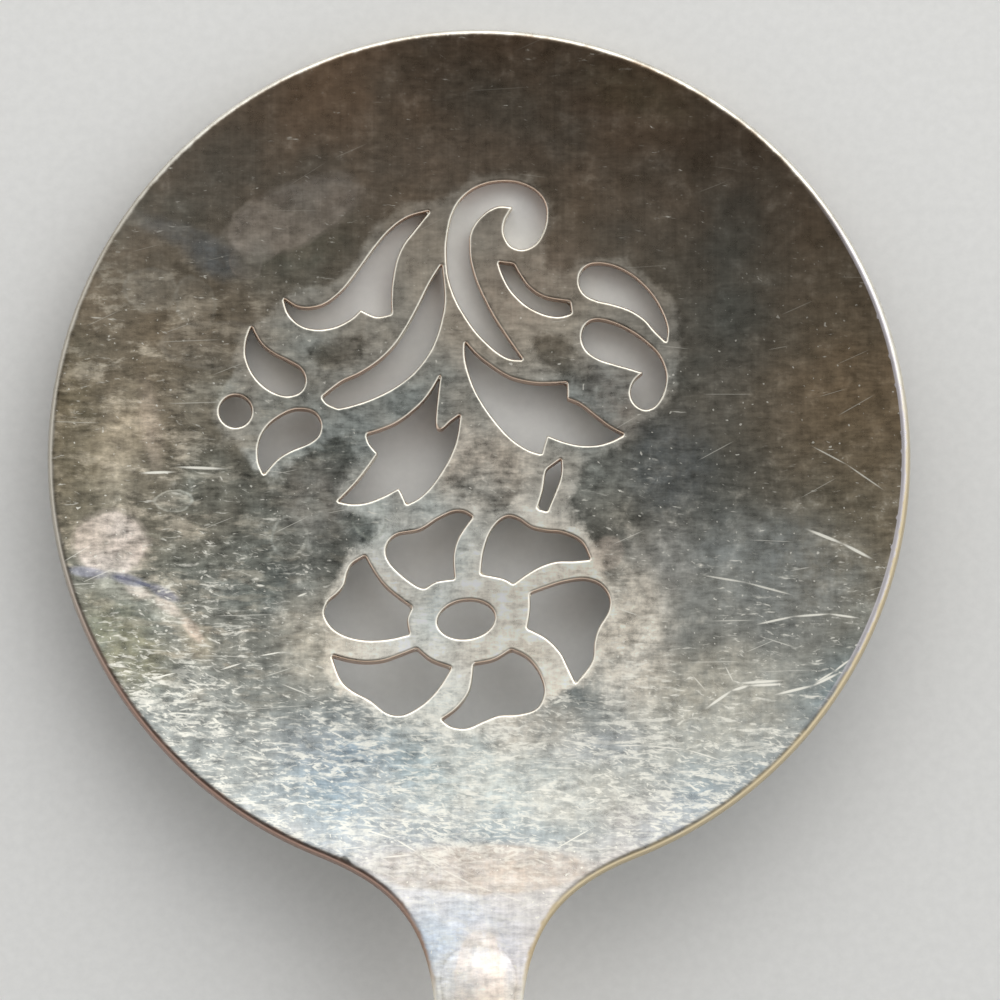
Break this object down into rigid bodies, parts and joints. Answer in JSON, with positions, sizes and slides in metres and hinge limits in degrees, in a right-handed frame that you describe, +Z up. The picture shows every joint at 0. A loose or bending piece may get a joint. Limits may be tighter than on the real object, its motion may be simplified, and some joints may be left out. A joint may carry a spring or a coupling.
{
  "type": "tomato server",
  "caption": "Flat round server with a pierced flower-spray blade, slender raised neck and hollow metal handle, for lifting sliced tomatoes and letting juice drain.",
  "frame": {"origin": "middle of the footprint on the table, at the lowest point", "axes": "+Y from the handle's butt to the blade's tip, +Z up, +X to the right seen from above with the tip away from the viewer"},
  "size_m": [0.0706, 0.199, 0.0173],
  "materials": {
    "blade_plate": "worn and tarnished silver plate with fine scratches, copper showing at the rim",
    "collar_plate": "worn silver plate",
    "handle_plate": "worn and tarnished silver plate",
    "cement": "rough resin handle cement"
  },
  "bodies": {
    "root": {"pierced_blade": "blade_plate", "handle_collar": "collar_plate", "handle_front_shell": "handle_plate", "handle_back_shell": "handle_plate", "handle_cement": "cement"}
  },
  "joints": []
}
